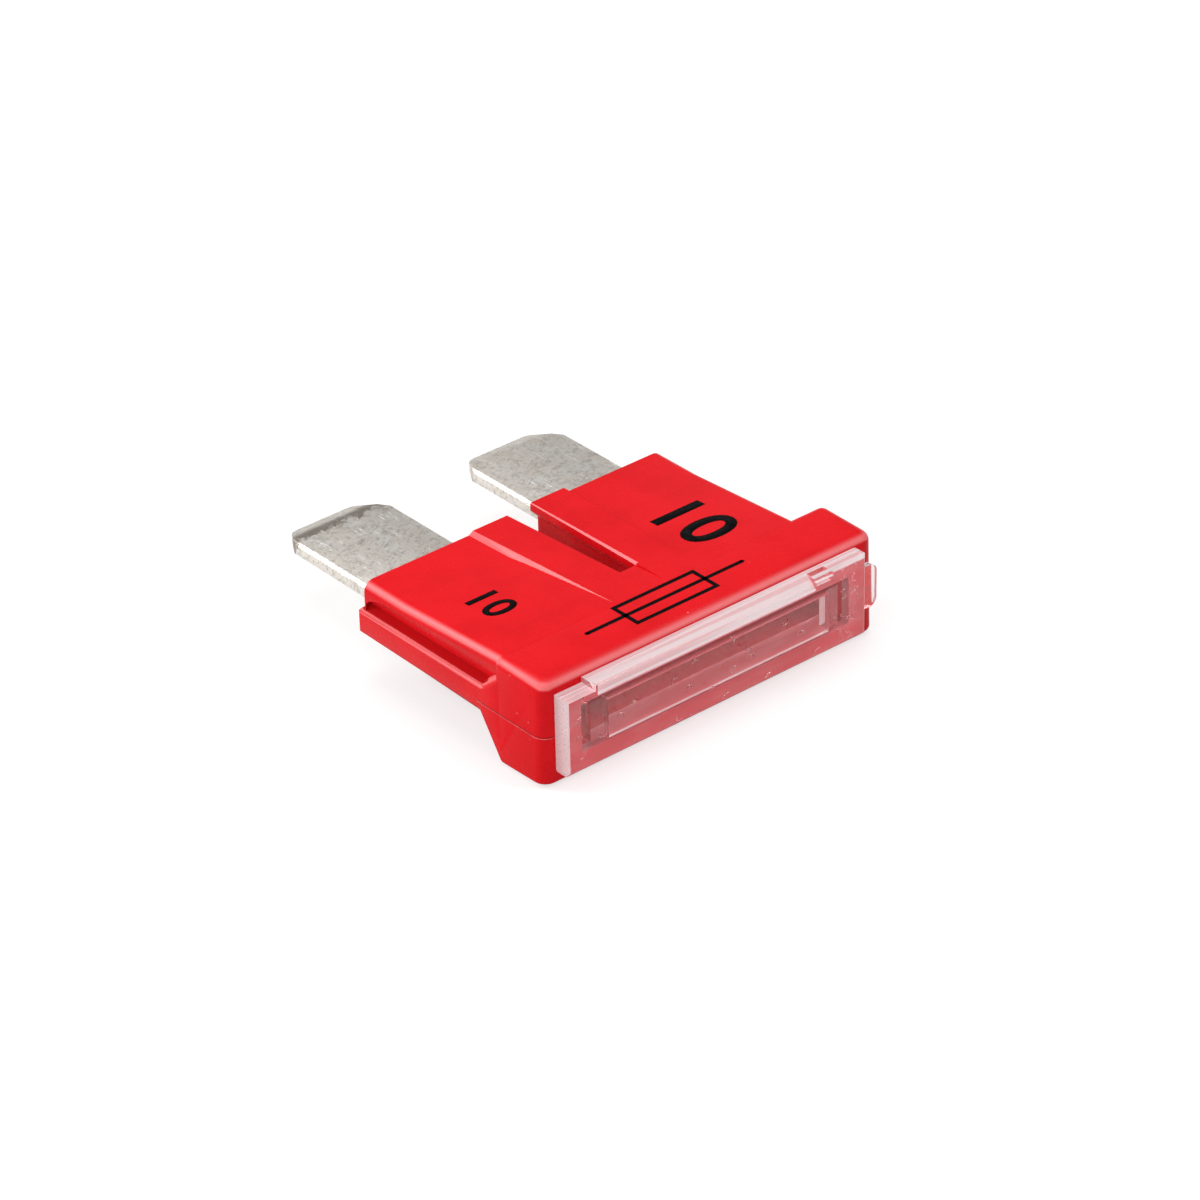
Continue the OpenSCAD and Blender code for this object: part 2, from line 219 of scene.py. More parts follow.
def mixIn(tree, factor, first, second):
    node = tree.nodes.new("ShaderNodeMix")
    node.data_type = "RGBA"
    tree.links.new(factor, node.inputs["Factor"])
    put(tree, node.inputs["A"], first)
    put(tree, node.inputs["B"], second)
    return node.outputs["Result"]


def axes(tree, vector):
    node = tree.nodes.new("ShaderNodeSeparateXYZ")
    tree.links.new(vector, node.inputs[0])
    return node.outputs["X"], node.outputs["Y"], node.outputs["Z"]


def millimetres(tree):
    # object coordinates in millimetres
    place = tree.nodes.new("ShaderNodeTexCoord")
    return mappingIn(tree, place.outputs["Object"], (1000, 1000, 1000))


def bumpOn(tree, height, depth, before=None):
    node = tree.nodes.new("ShaderNodeBump")
    node.inputs["Distance"].default_value = depth
    tree.links.new(height, node.inputs["Height"])
    if before is not None:
        tree.links.new(before, node.inputs["Normal"])
    return node.outputs["Normal"]


def effect(tree, group, vector, **values):
    # places one of the shared node groups with its own values
    node = tree.nodes.new("ShaderNodeGroup")
    node.node_tree = group
    tree.links.new(vector, node.inputs["Vector"])
    for label, value in values.items():
        put(tree, node.inputs[label], value)
    return node.outputs["Mask"]


# camera: same place and lens as the photograph

cameraSetup = {
    "place": (-112.746 * mm, -129.802 * mm, 110.191 * mm),
    "azimuth": -39.824,
    "elevation": 31.503,
    "roll": -1.332,
    "lens": 144.76,
    "sensor": 36.0,
    "nearest": 0.005,
    "farthest": 5,
}


def addCamera(s):
    turn = (
        Matrix.Rotation(math.radians(s["azimuth"]), 4, "Z")
        @ Matrix.Rotation(math.radians(90 - s["elevation"]), 4, "X")
        @ Matrix.Rotation(math.radians(s["roll"]), 4, "Z")
    )
    bpy.ops.object.camera_add(location=s["place"], rotation=turn.to_euler())
    camera = bpy.context.object
    camera.name = "camera"
    camera.data.lens = s["lens"]
    camera.data.sensor_width = s["sensor"]
    camera.data.clip_start = s["nearest"]
    camera.data.clip_end = s["farthest"]
    bpy.context.scene.camera = camera


# stage: white floor, softboxes, plain white room

stageSetup = {
    "floorSize": 1.6,
    "floorDrop": 0.02 * mm,
    "floorGrey": 0.45,
    "floorSeen": 0.64,
    "floorMirrored": 0.55,
    "mirroredFade": (-0.03, 0.05, 0.15, 1.0),  # from the front, where less is mirrored, to the back
    "floorThrough": 0.60,
    "roomLight": 0.34,
    "roomMirrored": 0.38,
    "softboxes": {
        "overhead": {"place": (0.05, 0.06, 0.30), "size": 0.24, "power": 0.345},
        "backLeft": {"place": (-0.17, 0.21, 0.18), "size": 0.09, "power": 0.38},
        "left": {"place": (-0.26, -0.06, 0.10), "size": 0.20, "power": 0.36},
        "frontRight": {"place": (0.15, -0.15, 0.18), "size": 0.08, "power": 0.16},
    },
}


def addFloor(s):
    bpy.ops.mesh.primitive_plane_add(size=s["floorSize"], location=(0, 0, -s["floorDrop"]))
    floor = bpy.context.object
    floor.name = "floor"
    material, tree, output = newMaterial("whiteFloor")
    shader = tree.nodes.new("ShaderNodeBsdfDiffuse")
    shader.inputs["Color"].default_value = (s["floorGrey"],) * 3 + (1,)
    path = tree.nodes.new("ShaderNodeLightPath")
    spot = tree.nodes.new("ShaderNodeTexCoord")
    backward = rampIn(tree, axes(tree, spot.outputs["Object"])[1], *s["mirroredFade"])
    seen = times(tree, path.outputs["Is Camera Ray"], s["floorSeen"])
    mirrored = times(tree, path.outputs["Is Glossy Ray"], s["floorMirrored"], backward)
    through = times(tree, path.outputs["Is Transmission Ray"], s["floorThrough"])
    glow = tree.nodes.new("ShaderNodeEmission")
    tree.links.new(largest(tree, seen, mirrored, through), glow.inputs["Strength"])
    both = tree.nodes.new("ShaderNodeAddShader")
    tree.links.new(shader.outputs[0], both.inputs[0])
    tree.links.new(glow.outputs[0], both.inputs[1])
    tree.links.new(both.outputs[0], output.inputs["Surface"])
    giveMaterials(floor, material)


def addRoom(s):
    world = bpy.data.worlds.new("whiteRoom")
    bpy.context.scene.world = world
    world.use_nodes = True
    tree = world.node_tree
    background = tree.nodes["Background"]
    background.inputs["Color"].default_value = (1, 1, 1, 1)
    path = tree.nodes.new("ShaderNodeLightPath")
    mirrored = times(tree, path.outputs["Is Glossy Ray"], s["roomMirrored"])
    plain = times(tree, path.outputs["Is Diffuse Ray"], s["roomLight"])
    white = largest(tree, path.outputs["Is Camera Ray"], path.outputs["Is Transmission Ray"])
    tree.links.new(largest(tree, white, mirrored, plain), background.inputs["Strength"])


def addSoftboxes(s):
    for name, box in s["softboxes"].items():
        place = Vector(box["place"])
        bpy.ops.object.light_add(type="AREA", location=place)
        lamp = bpy.context.object
        lamp.name = name + "Softbox"
        lamp.data.size = box["size"]
        lamp.data.energy = box["power"]
        lamp.rotation_euler = (-place).to_track_quat("-Z", "Y").to_euler()


def addStage(s):
    addFloor(s)
    addRoom(s)
    addSoftboxes(s)


# shared effects, each one a node group that gives back a mask

def newGroup(name, inputs):
    group = bpy.data.node_groups.new(name, "ShaderNodeTree")
    group.interface.new_socket("Vector", in_out="INPUT", socket_type="NodeSocketVector")
    for label, value in inputs.items():
        socket = group.interface.new_socket(label, in_out="INPUT", socket_type="NodeSocketFloat")
        socket.default_value = value
    group.interface.new_socket("Mask", in_out="OUTPUT", socket_type="NodeSocketFloat")
    return group, group.nodes.new("NodeGroupInput"), group.nodes.new("NodeGroupOutput")


def cellsIn(group, entry):
    # a cell pattern at the group's own scale, and each cell's random colour
    cells = group.nodes.new("ShaderNodeTexVoronoi")
    group.links.new(entry.outputs["Vector"], cells.inputs["Vector"])
    group.links.new(entry.outputs["Scale"], cells.inputs["Scale"])
    split = group.nodes.new("ShaderNodeSeparateColor")
    group.links.new(cells.outputs["Color"], split.inputs["Color"])
    return cells, split


hairlineShape = {
    "passes": ((24, 9, 3.1), (-38, 14, 11.7), (71, 7, 23.9)),  # turn, fineness, seed
    "along": 0.35,
    "lines": {"scale": 1.0, "detail": 2, "roughness": 0.5},
    "lineRamp": (0.62, 0.72),
    "brokenScale": 0.7,
    "brokenRamp": (0.45, 0.65),
}


def makeHairlines(s):
    # scratches in three directions, each broken up by a slow noise
    group, entry, leave = newGroup("hairlines", {"Amount": 0.5})
    passes = []
    for turn, fineness, seed in s["passes"]:
        stretch = (fineness, s["along"], 1)
        lined = mappingIn(group, entry.outputs["Vector"], stretch, (0, 0, turn), (seed, seed, 0))
        lines = rampIn(group, noiseIn(group, lined, **s["lines"]), *s["lineRamp"])
        slow = noiseIn(group, entry.outputs["Vector"], s["brokenScale"] + 0.01 * seed, 2)
        passes.append(times(group, lines, rampIn(group, slow, *s["brokenRamp"])))
    mask = times(group, largest(group, *passes), entry.outputs["Amount"])
    group.links.new(mask, leave.inputs["Mask"])
    return group


blotchShape = {
    "noise": {"detail": 5, "roughness": 0.62, "distortion": 0.6},
    "levelAtNone": 0.72,
    "levelDrop": 0.4,
    "rim": 7.0,
}


def makeBlotches(s):
    # irregular patches with a ragged rim
    group, entry, leave = newGroup("blotches", {"Scale": 1.0, "Cover": 0.5})
    slow = noiseIn(group, entry.outputs["Vector"], entry.outputs["Scale"], **s["noise"])
    lower = times(group, entry.outputs["Cover"], s["levelDrop"])
    level = maths(group, "SUBTRACT", s["levelAtNone"], lower)
    over = maths(group, "SUBTRACT", slow, level)
    group.links.new(maths(group, "MULTIPLY", over, s["rim"], clamp=True), leave.inputs["Mask"])
    return group


def makeSpecks():
    # sparse tiny dots in the middle of some cells
    group, entry, leave = newGroup("specks", {"Scale": 1.0, "Size": 0.1, "Cover": 0.3})
    cells, split = cellsIn(group, entry)
    near = maths(group, "LESS_THAN", cells.outputs["Distance"], entry.outputs["Size"])
    chosen = maths(group, "LESS_THAN", split.outputs["Red"], entry.outputs["Cover"])
    group.links.new(times(group, near, chosen), leave.inputs["Mask"])
    return group


def makeHookMarks():
    # small C-shaped moulding marks: half a ring round the middle of some cells
    sizes = {"Scale": 1.0, "Radius": 0.15, "Width": 0.04, "Cover": 0.4}
    group, entry, leave = newGroup("hookMarks", sizes)
    cells, split = cellsIn(group, entry)
    cells.voronoi_dimensions = "2D"
    cells.inputs["Randomness"].default_value = 0.9
    away = maths(group, "SUBTRACT", cells.outputs["Distance"], entry.outputs["Radius"])
    share = maths(group, "DIVIDE", maths(group, "ABSOLUTE", away), entry.outputs["Width"])
    ring = maths(group, "SUBTRACT", 1.0, share, clamp=True)
    chosen = maths(group, "LESS_THAN", split.outputs["Red"], entry.outputs["Cover"])

    # the half that lies on a random side of the cell's middle
    offset = group.nodes.new("ShaderNodeVectorMath")
    offset.operation = "SUBTRACT"
    group.links.new(entry.outputs["Vector"], offset.inputs[0])
    group.links.new(cells.outputs["Position"], offset.inputs[1])
    scaled = group.nodes.new("ShaderNodeVectorMath")
    scaled.operation = "SCALE"
    group.links.new(offset.outputs["Vector"], scaled.inputs[0])
    group.links.new(entry.outputs["Scale"], scaled.inputs["Scale"])
    turned = group.nodes.new("ShaderNodeCombineXYZ")
    group.links.new(maths(group, "SUBTRACT", split.outputs["Green"], 0.5), turned.inputs["X"])
    group.links.new(maths(group, "SUBTRACT", split.outputs["Blue"], 0.5), turned.inputs["Y"])
    side = group.nodes.new("ShaderNodeVectorMath")
    side.operation = "DOT_PRODUCT"
    group.links.new(scaled.outputs["Vector"], side.inputs[0])
    group.links.new(turned.outputs["Vector"], side.inputs[1])
    half = maths(group, "GREATER_THAN", side.outputs["Value"], 0.0)
    group.links.new(times(group, ring, chosen, half), leave.inputs["Mask"])
    return group


def makeBand():
    # one close to Middle, and nothing beyond one and a half times Half from it
    group, entry, leave = newGroup("band", {"Value": 0, "Middle": 0, "Half": 0.02})
    away = maths(group, "SUBTRACT", entry.outputs["Value"], entry.outputs["Middle"])
    share = maths(group, "DIVIDE", maths(group, "ABSOLUTE", away), entry.outputs["Half"])
    group.links.new(maths(group, "SUBTRACT", 1.5, share, clamp=True), leave.inputs["Mask"])
    return group


hairlines = makeHairlines(hairlineShape)
blotches = makeBlotches(blotchShape)
specks = makeSpecks()
hookMarks = makeHookMarks()
band = makeBand()


# red moulded housing; sizes without mm are in millimetres, as the material reads them

housingLook = {
    "red": (0.80, 0.007, 0.013, 1),
    "deepRed": (0.62, 0.003, 0.006, 1),
    # dark red of painted shade in hollows, on the flank and along the parting line
    "paintedShadeRed": (0.40, 0.0015, 0.003, 1),
    # lighter pink of the painted highlights on edges and at the parting line
    "edgeHighlightRed": (0.97, 0.21, 0.22, 1),
    "speckRed": (0.95, 0.35, 0.35, 1),
    "specular": 0.11,
    "smoothAngle": 28,
    # painted highlight on rounded edges, from how far they turn off the axes and how far they face
    # up
    "edgeTurned": (0.97, 0.80),
    "edgeUpward": (0.15, 0.5),
    "edgeHighlightShare": 0.8,
    # painted shade on the groove's flank above the bar, and a painted highlight on the bar's upper
    # edge
    "flankLow": 3.27,
    "flankHigh": 3.62,
    "flankInner": 8.5,
    "flankOuter": 8.935,
    "flankFrom": 0.9,
    "flankFull": 0.3,
    "flankShadeShare": 0.85,
    "barEdgeLow": (3.06, 3.16),
    "barEdgeHigh": (3.31, 3.26),
    "barInner": 8.9,
    "barHighlightShare": 0.75,
    # colour of the plastic, with painted shade where its surfaces close in
    "clouds": {"scale": 0.32, "detail": 4, "roughness": 0.6},
    "cloudRamp": (0.35, 0.7, 0.0, 0.5),
    "paintedShadeReach": 1.3 * mm,
    "paintedShadeRays": 8,
    "paintedShadeRamp": (0.75, 0.25, 0.0, 0.7),
    "specks": {"Scale": 1.1, "Size": 0.045, "Cover": 0.16},
    "speckShare": 0.5,
    # the mould's parting line round the head, with its step, a painted shade line over the step and
    # a painted highlight glint under it
    "partingZ": 2.43,
    "partingEnd": (headFront + 4.3 * mm) / mm,
    "lineUp": 0.02,
    "lineHalf": 0.03,
    "lineShadeShare": 0.75,
    "glintDown": 0.035,
    "glintHalf": 0.02,
    "flecks": {"scale": 2.5, "detail": 3, "roughness": 0.7},
    "fleckRamp": (0.40, 0.62, 0.35, 1.0),
    "stepDown": 0.03,
    "stepUp": 0.01,
    "stepDepth": 0.025 * mm,
    # gloss and grain
    "roughness": 0.22,
    "rubbed": 0.10,
    "dull": {"scale": 2.2, "detail": 3},
    "dullShare": 0.10,
    "bumps": (
        ({"scale": 0.55, "detail": 2}, 0.020 * mm),
        ({"scale": 14, "detail": 3, "roughness": 0.6}, 0.0011 * mm),
    ),
    # the bars' rounded ends
    "noseStart": 10.22 * mm,
    "noseTaper": 0.93,
    "noseInner": 8.02 * mm,
    "noseMiddle": 2.55 * mm,
    "noseNarrow": 0.25,
}


def redPlastic(s):
    material, tree, output = newMaterial("redPlastic")
    shader = newShader(tree, {"Specular IOR Level": s["specular"]})
    place = millimetres(tree)
    x, y, z = axes(tree, place)
    outward = maths(tree, "ABSOLUTE", x)

    geometry = tree.nodes.new("ShaderNodeNewGeometry")
    normals = axes(tree, geometry.outputs["Normal"])
    facing = largest(tree, *[maths(tree, "ABSOLUTE", n) for n in normals])
    # painted highlight: a lighter pink on rounded edges that face up
    turned = rampIn(tree, facing, *s["edgeTurned"])
    edgeHighlight = times(tree, turned, rampIn(tree, normals[2], *s["edgeUpward"]), s["edgeHighlightShare"])

    # painted shade on the groove's flank beside the bar, which also loses its edge highlight there
    flankShade = times(
        tree,
        maths(tree, "GREATER_THAN", z, s["flankLow"]),
        maths(tree, "LESS_THAN", z, s["flankHigh"]),
        maths(tree, "LESS_THAN", outward, s["flankOuter"]),
        rampIn(tree, y, s["partingEnd"] - s["flankFrom"], s["partingEnd"] - s["flankFull"]),
        maths(tree, "GREATER_THAN", outward, s["flankInner"]),
    )
    edgeHighlight = times(tree, edgeHighlight, maths(tree, "SUBTRACT", 1.0, flankShade))
    # painted highlight along the bar's upper rounded edge
    barHighlight = times(
        tree,
        rampIn(tree, z, *s["barEdgeLow"]),
        rampIn(tree, z, *s["barEdgeHigh"]),
        maths(tree, "GREATER_THAN", y, s["partingEnd"] - s["flankFull"]),
        maths(tree, "GREATER_THAN", outward, s["barInner"]),
        s["barHighlightShare"],
    )
    edgeHighlight = largest(tree, edgeHighlight, barHighlight)

    clouds = rampIn(tree, noiseIn(tree, place, **s["clouds"]), *s["cloudRamp"])
    colour = mixIn(tree, clouds, s["red"], s["deepRed"])
    colour = mixIn(tree, edgeHighlight, colour, s["edgeHighlightRed"])
    colour = mixIn(tree, times(tree, flankShade, s["flankShadeShare"]), colour, s["paintedShadeRed"])
    # painted shade: the red darkened where the housing's own surfaces close in on each other
    hollow = tree.nodes.new("ShaderNodeAmbientOcclusion")
    hollow.samples = s["paintedShadeRays"]
    hollow.only_local = True
    hollow.inputs["Distance"].default_value = s["paintedShadeReach"]
    paintedShade = rampIn(tree, hollow.outputs["AO"], *s["paintedShadeRamp"])
    colour = mixIn(tree, paintedShade, colour, s["paintedShadeRed"])

    # painted shade as a dark line above the parting step, and a broken painted highlight below it
    onHead = maths(tree, "LESS_THAN", y, s["partingEnd"])
    lineZ = s["partingZ"] + s["lineUp"]
    line = effect(tree, band, place, Value=z, Middle=lineZ, Half=s["lineHalf"])
    colour = mixIn(tree, times(tree, line, onHead, s["lineShadeShare"]), colour, s["paintedShadeRed"])
    glintZ = s["partingZ"] - s["glintDown"]
    glint = effect(tree, band, place, Value=z, Middle=glintZ, Half=s["glintHalf"])
    flecks = rampIn(tree, noiseIn(tree, place, **s["flecks"]), *s["fleckRamp"])
    colour = mixIn(tree, times(tree, glint, onHead, flecks), colour, s["edgeHighlightRed"])
    dots = effect(tree, specks, place, **s["specks"])
    colour = mixIn(tree, times(tree, dots, s["speckShare"]), colour, s["speckRed"])

    rubbed = effect(tree, hairlines, place, Amount=s["rubbed"])
    dull = times(tree, noiseIn(tree, place, **s["dull"]), s["dullShare"])
    rough = maths(tree, "ADD", maths(tree, "ADD", dull, rubbed), s["roughness"])
    rough = largest(tree, rough, flankShade, paintedShade)

    step = rampIn(tree, z, s["partingZ"] - s["stepDown"], s["partingZ"] + s["stepUp"])
    normal = bumpOn(tree, times(tree, step, onHead), s["stepDepth"])
    for noise, depth in s["bumps"]:
        normal = bumpOn(tree, noiseIn(tree, place, **noise), depth, normal)
    feed(tree, shader, {"Base Color": colour, "Roughness": rough, "Normal": normal})
    tree.links.new(shader.outputs[0], output.inputs["Surface"])
    return material


def roundBarEnds(housing):
    # draw the bars' ends in to a rounder nose
    s = housingLook
    reach = housingHigh.y - s["noseStart"]
    for corner in housing.data.vertices:
        if corner.co.y > s["noseStart"] and abs(corner.co.x) > s["noseInner"]:
            share = min(1.0, (corner.co.y - s["noseStart"]) / reach)
            slim = math.sqrt(1 - s["noseTaper"] * share * share)
            inner = math.copysign(s["noseInner"], corner.co.x)
            narrow = 1 - s["noseNarrow"] + s["noseNarrow"] * slim
            corner.co.z = s["noseMiddle"] + (corner.co.z - s["noseMiddle"]) * slim
            corner.co.x = inner + (corner.co.x - inner) * narrow


def addHousing(s):
    housing = copyOfNode("housing", "housing_shell", s["smoothAngle"], shapeIt=roundBarEnds)
    giveMaterials(housing, redPlastic(s))
    return housing


# black print on the housing's top: a plain fuse sign and two plain numbers;
# sizes without mm are in millimetres, as laid out on the head

printLook = {
    "ink": (0.002, 0.0018, 0.002, 1),
    "wornInk": (0.10, 0.012, 0.014, 1),
    "specular": 0.05,
    "worn": {"Scale": 6.0, "Cover": 0.28},
    "wornShare": 0.2,
    "dull": {"scale": 9, "detail": 3},
    "dullRamp": (0.3, 0.7, 0.42, 0.62),
    "grain": {"scale": 16, "detail": 3},
    "grainDepth": 0.002 * mm,
    "lift": 0.006 * mm,
    "skin": 0.008 * mm,
    "above": 1,
    "signMiddle": (-0.70, 1.95),
    "signLength": 8.6,
    "signBox": (4.6, 1.75),
    "stroke": 0.21,
    "endCorners": 20,
    "weight": 0.022,
    "spacing": 1.08,
    "turn": -90,
    "numbers": {
        "number_left": {"middle": (-6.18, 6.60), "height": 1.65},
        "number_right": {"middle": (4.48, 5.75), "height": 2.8},
    },
}


def blackInk(s):
    material, tree, output = newMaterial("blackInk")
    shader = newShader(tree, {"Specular IOR Level": s["specular"]})
    place = millimetres(tree)
    worn = times(tree, effect(tree, blotches, place, **s["worn"]), s["wornShare"])
    feed(tree, shader, {
        "Base Color": mixIn(tree, worn, s["ink"], s["wornInk"]),
        "Roughness": rampIn(tree, noiseIn(tree, place, **s["dull"]), *s["dullRamp"]),
        "Normal": bumpOn(tree, noiseIn(tree, place, **s["grain"]), s["grainDepth"]),
    })
    tree.links.new(shader.outputs[0], output.inputs["Surface"])
    return material


def layOn(mark, housing, s, ink):
    # drop the flat mark onto the plastic and give it the thickness of ink
    applyPlace(mark)
    wrap = mark.modifiers.new("drop", "SHRINKWRAP")
    wrap.target = housing
    wrap.wrap_method = "PROJECT"
    wrap.use_project_z = True
    wrap.use_negative_direction = True
    wrap.use_positive_direction = False
    wrap.offset = s["lift"]
    body = mark.modifiers.new("skin", "SOLIDIFY")
    body.thickness = s["skin"]
    body.offset = -1
    applyModifiers(mark)
    giveMaterials(mark, ink)
    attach(mark, "root")


def atHead(s, place):
    # a place measured from the head's front face, well above the housing
    return (place[0] * mm, headFront + place[1] * mm, headTop + s["above"] * mm)


def addFuseSign(s, housing, ink):
    # a bar with round ends through a hollow box, all one flat mark
    x, y, z = atHead(s, s["signMiddle"])
    stroke = s["stroke"] * mm
    long = s["signLength"] * mm
    bpy.ops.mesh.primitive_plane_add(size=1, location=(x, y, z))
    sign = bpy.context.object
    sign.name = "fuse_sign"
    sign.scale = (s["signBox"][0] * mm, s["signBox"][1] * mm, 1)
    applyPlace(sign)
    bpy.ops.object.mode_set(mode="EDIT")
    bpy.ops.mesh.select_all(action="SELECT")
    bpy.ops.mesh.inset(thickness=stroke, depth=0)
    bpy.ops.mesh.delete(type="FACE")
    bpy.ops.object.mode_set(mode="OBJECT")
    dropSelection()
    bpy.ops.mesh.primitive_plane_add(size=1, location=(x, y, z))
    bar = bpy.context.object
    bar.scale = (long, stroke, 1)
    applyPlace(bar)
    ends = []
    for side in (-1, 1):
        dropSelection()
        bpy.ops.mesh.primitive_circle_add(vertices=s["endCorners"], radius=stroke / 2,
                                          fill_type="NGON", location=(x + side * long / 2, y, z))
        applyPlace(bpy.context.object)
        ends.append(bpy.context.object)
    dropSelection()
    for part in ends + [bar, sign]:
        part.select_set(True)
    bpy.context.view_layer.objects.active = sign
    bpy.ops.object.join()
    layOn(sign, housing, s, ink)


def addNumber(name, number, s, housing, ink):
    bpy.ops.object.text_add(location=(0, 0, 0))
    mark = bpy.context.object
    mark.data.body = "10"
    mark.data.align_x = "CENTER"
    mark.data.align_y = "CENTER"
    mark.data.resolution_u = 6
    mark.data.space_character = s["spacing"]
    mark.data.offset = s["weight"]
    pick(mark)
    bpy.ops.object.convert(target="MESH")
    mark = bpy.context.object
    mark.name = name
    tall = mark.dimensions.y
    middle = sum((Vector(c) for c in mark.bound_box), Vector()) / 8
    for corner in mark.data.vertices:
        corner.co -= middle
    mark.scale = (number["height"] * mm / tall,) * 2 + (1,)
    mark.rotation_euler = (0, 0, math.radians(s["turn"]))
    mark.location = atHead(s, number["middle"])
    layOn(mark, housing, s, ink)


def addPrint(s, housing):
    ink = blackInk(s)
    addFuseSign(s, housing, ink)
    for name, number in s["numbers"].items():
        addNumber(name, number, s, housing, ink)


# stamped metal strip; sizes without mm are in millimetres, as the material reads them

stripLook = {
    "metal": (0.93, 0.875, 0.80, 1),
    "pale": (1.0, 0.975, 0.94, 1),
    "stain": (0.40, 0.355, 0.31, 1),
    "tipDarkTone": (0.20, 0.17, 0.14, 1),
    "softEdge": 0.03 * mm,
    "smoothAngle": 25,
    "patches": (
        ({"Scale": 0.8, "Cover": 0.62}, 0.6, "pale"),
        ({"Scale": 1.5, "Cover": 0.34}, 0.5, "stain"),
        ({"Scale": 4.5, "Cover": 0.55}, 0.42, "stain"),
    ),
    # a darker ragged band just behind the blades' tips, weaker on the right blade
    "rightShort": 0.35,
    "ragged": {"scale": 1.6, "detail": 5, "roughness": 0.7, "distortion": 0.5},
    "raggedDepth": 1.9,
    "tipBandRamp": (0.40, 0.05),
    "tipRamp": (0.35, 0.80),
    "tipBandShare": 0.85,
    "tipBandLessRight": 0.5,
    # scratches and pits
    "lineShadeShare": 0.55,
    "crossedScale": (1.6, 1.6, 1.6),
    "crossedTurn": (0, 0, 61),
    "crossedShift": (5, 2, 0),
    "crossedShare": 0.7,
    "pits": {"Scale": 2.0, "Size": 0.13, "Cover": 0.22},
    "pitShare": 0.35,
    "roughness": 0.37,
    "dull": {"scale": 5, "detail": 4},
    "dullShare": 0.18,
    "tipBandRough": 0.15,
    "wave": ({"scale": 1.3, "detail": 3}, 0.012 * mm),
    "grain": ({"scale": 7, "detail": 4, "roughness": 0.65}, 0.014 * mm),
    "scratchDepth": 0.016 * mm,
}


def bladeMetal(s):
    material, tree, output = newMaterial("bladeMetal")
    shader = newShader(tree, {"Metallic": 1})
    place = millimetres(tree)
    x, y, z = axes(tree, place)

    colour = s["metal"]
    for pattern, share, shade in s["patches"]:
        patch = effect(tree, blotches, place, **pattern)
        colour = mixIn(tree, times(tree, patch, share), colour, s[shade])

    onRight = maths(tree, "GREATER_THAN", x, 0.0)
    # a darker ragged band behind each tip, weaker on the right
    tip = maths(tree, "SUBTRACT", stripHigh.y / mm, times(tree, onRight, s["rightShort"]))
    fromTip = maths(tree, "SUBTRACT", tip, y)
    ragged = times(tree, noiseIn(tree, place, **s["ragged"]), s["raggedDepth"])
    tipBand = rampIn(tree, maths(tree, "SUBTRACT", fromTip, ragged), *s["tipBandRamp"])
    tipBand = times(tree, tipBand, rampIn(tree, fromTip, *s["tipRamp"]))
    less = times(tree, onRight, s["tipBandLessRight"])
    strength = maths(tree, "SUBTRACT", s["tipBandShare"], less)
    colour = mixIn(tree, times(tree, tipBand, strength), colour, s["tipDarkTone"])

    lines = effect(tree, hairlines, place, Amount=1.0)
    colour = mixIn(tree, times(tree, lines, s["lineShadeShare"]), colour, s["pale"])
    across = mappingIn(tree, place, s["crossedScale"], s["crossedTurn"], s["crossedShift"])
    crossed = effect(tree, hairlines, across, Amount=1.0)
    colour = mixIn(tree, times(tree, crossed, s["crossedShare"]), colour, s["stain"])
    pits = effect(tree, specks, place, **s["pits"])
    colour = mixIn(tree, times(tree, pits, s["pitShare"]), colour, s["stain"])

    dull = times(tree, noiseIn(tree, place, **s["dull"]), s["dullShare"])
    rough = maths(tree, "ADD", dull, s["roughness"])
    rough = maths(tree, "ADD", rough, times(tree, tipBand, s["tipBandRough"]))

    normal = None
    for noise, depth in (s["wave"], s["grain"]):
        normal = bumpOn(tree, noiseIn(tree, place, **noise), depth, normal)
    normal = bumpOn(tree, lines, s["scratchDepth"], normal)
    normal = bumpOn(tree, crossed, -s["scratchDepth"], normal)
    feed(tree, shader, {"Base Color": colour, "Roughness": rough, "Normal": normal})
    tree.links.new(shader.outputs[0], output.inputs["Surface"])
    return material


def addStrip(s):
    strip = copyOfNode("fuse_element", "blade_strip", s["smoothAngle"], s["softEdge"])
    giveMaterials(strip, bladeMetal(s))
    return strip


# clear window cap; sizes without mm are in millimetres, as the material reads them

